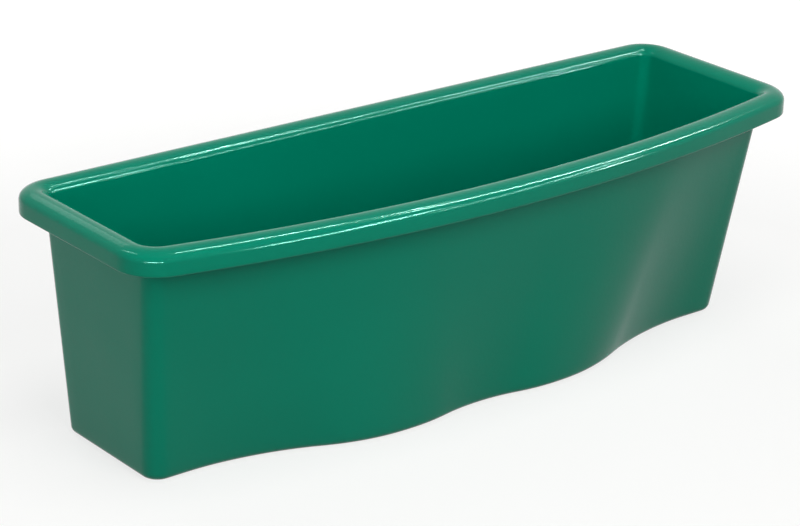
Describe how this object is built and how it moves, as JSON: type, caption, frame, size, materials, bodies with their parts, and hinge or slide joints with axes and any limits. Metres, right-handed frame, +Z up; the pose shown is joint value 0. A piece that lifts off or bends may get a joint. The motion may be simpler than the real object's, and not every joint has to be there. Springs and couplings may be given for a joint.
{
  "type": "window box planter",
  "caption": "Long bow-fronted planting trough with a turned-down rim, wavy foot, lift-out drainage grids and pull-out drain plugs.",
  "frame": {"origin": "on the ground, at the centre of the overall length and depth", "axes": "+X along the trough, -Y towards the bowed front, +Z up"},
  "size_m": [0.8, 0.27, 0.248],
  "materials": {
    "green_shell": "semi-gloss moulded polyethylene, through-coloured green with a slight ripple",
    "grid_black": "fine matt moulded polypropylene",
    "plug_rubber": "soft matt synthetic rubber"
  },
  "bodies": {
    "trough": {"trough": "green_shell"},
    "drain_grid_left": {"drain_grid_left": "grid_black"},
    "drain_grid_right": {"drain_grid_right": "grid_black"},
    "drain_plug_1": {"drain_plug_1": "plug_rubber"},
    "drain_plug_2": {"drain_plug_2": "plug_rubber"},
    "drain_plug_3": {"drain_plug_3": "plug_rubber"},
    "drain_plug_4": {"drain_plug_4": "plug_rubber"}
  },
  "joints": [
    {"name": "left_grid_lift", "type": "slide", "parent": "trough", "child": "drain_grid_left", "axis": [0, 0, 1], "range_m": [0, 0.26]},
    {"name": "right_grid_lift", "type": "slide", "parent": "trough", "child": "drain_grid_right", "axis": [0, 0, 1], "range_m": [0, 0.26]},
    {"name": "plug_1_pull", "type": "slide", "parent": "trough", "child": "drain_plug_1", "axis": [0, 0, -1], "range_m": [0, 0.012]},
    {"name": "plug_2_pull", "type": "slide", "parent": "trough", "child": "drain_plug_2", "axis": [0, 0, -1], "range_m": [0, 0.012]},
    {"name": "plug_3_pull", "type": "slide", "parent": "trough", "child": "drain_plug_3", "axis": [0, 0, -1], "range_m": [0, 0.012]},
    {"name": "plug_4_pull", "type": "slide", "parent": "trough", "child": "drain_plug_4", "axis": [0, 0, -1], "range_m": [0, 0.012]}
  ]
}
